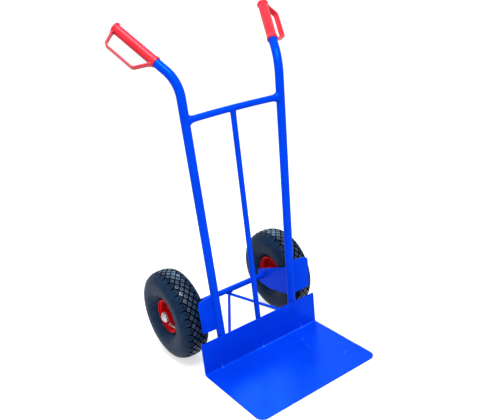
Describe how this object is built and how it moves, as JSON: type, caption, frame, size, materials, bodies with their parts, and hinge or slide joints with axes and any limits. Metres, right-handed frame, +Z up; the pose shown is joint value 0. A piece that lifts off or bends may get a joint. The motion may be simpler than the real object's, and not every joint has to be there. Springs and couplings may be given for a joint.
{
  "type": "hand truck",
  "caption": "Two-wheeled tubular hand truck with a folded toe plate, air-filled tyres on pressed rims, wheel guards and knuckle-guard grips.",
  "frame": {"origin": "on the ground, in the middle of the truck's footprint", "axes": "+Z up along the uprights, -Y the way the toe plate points (the load side), +X to the right seen from the load side looking along +Y"},
  "size_m": [0.6008, 0.6182, 1.0839],
  "materials": {
    "blue_enamel": "gloss",
    "red_vinyl": "satin",
    "red_rim": "gloss",
    "tyre_rubber": "matt",
    "tube_rubber": "matt",
    "zinc_steel": "zinc plated",
    "bright_cap": "bright plated",
    "bush_nylon": "matt",
    "valve_metal": "plain",
    "valve_cap": "matt"
  },
  "bodies": {
    "frame": {"toe_plate": "blue_enamel", "side_tube_left": "blue_enamel", "side_tube_right": "blue_enamel", "upper_cross_tube": "blue_enamel", "centre_tube": "blue_enamel", "axle_shaft": "blue_enamel", "axle_bracket_left": "blue_enamel", "axle_bracket_right": "blue_enamel", "wheel_guard_left": "blue_enamel", "wheel_guard_right": "blue_enamel", "brace_rod_left": "blue_enamel", "brace_rod_right": "blue_enamel", "grip_left": "red_vinyl", "grip_right": "red_vinyl", "axle_spacer_left": "zinc_steel", "axle_spacer_right": "zinc_steel", "inner_washer_left": "zinc_steel", "inner_washer_right": "zinc_steel", "outer_washer_left": "zinc_steel", "outer_washer_right": "zinc_steel", "axle_cap_left": "bright_cap", "axle_cap_right": "bright_cap"},
    "left_wheel": {"tyre_left": "tyre_rubber", "inner_tube_left": "tube_rubber", "rim_outer_half_left": "red_rim", "rim_inner_half_left": "red_rim", "hub_tube_left": "red_rim", "hub_bushes_left": "bush_nylon", "rim_bolts_left": "zinc_steel", "rim_nuts_left": "zinc_steel", "valve_stem_left": "valve_metal", "valve_cap_left": "valve_cap"},
    "right_wheel": {"tyre_right": "tyre_rubber", "inner_tube_right": "tube_rubber", "rim_outer_half_right": "red_rim", "rim_inner_half_right": "red_rim", "hub_tube_right": "red_rim", "hub_bushes_right": "bush_nylon", "rim_bolts_right": "zinc_steel", "rim_nuts_right": "zinc_steel", "valve_stem_right": "valve_metal", "valve_cap_right": "valve_cap"}
  },
  "joints": [
    {"name": "left_wheel_spin", "type": "hinge", "parent": "frame", "child": "left_wheel", "pos_m": [-0.215, 0.159, 0.15], "axis": [1, 0, 0], "continuous": true},
    {"name": "right_wheel_spin", "type": "hinge", "parent": "frame", "child": "right_wheel", "pos_m": [0.215, 0.159, 0.15], "axis": [1, 0, 0], "continuous": true}
  ]
}
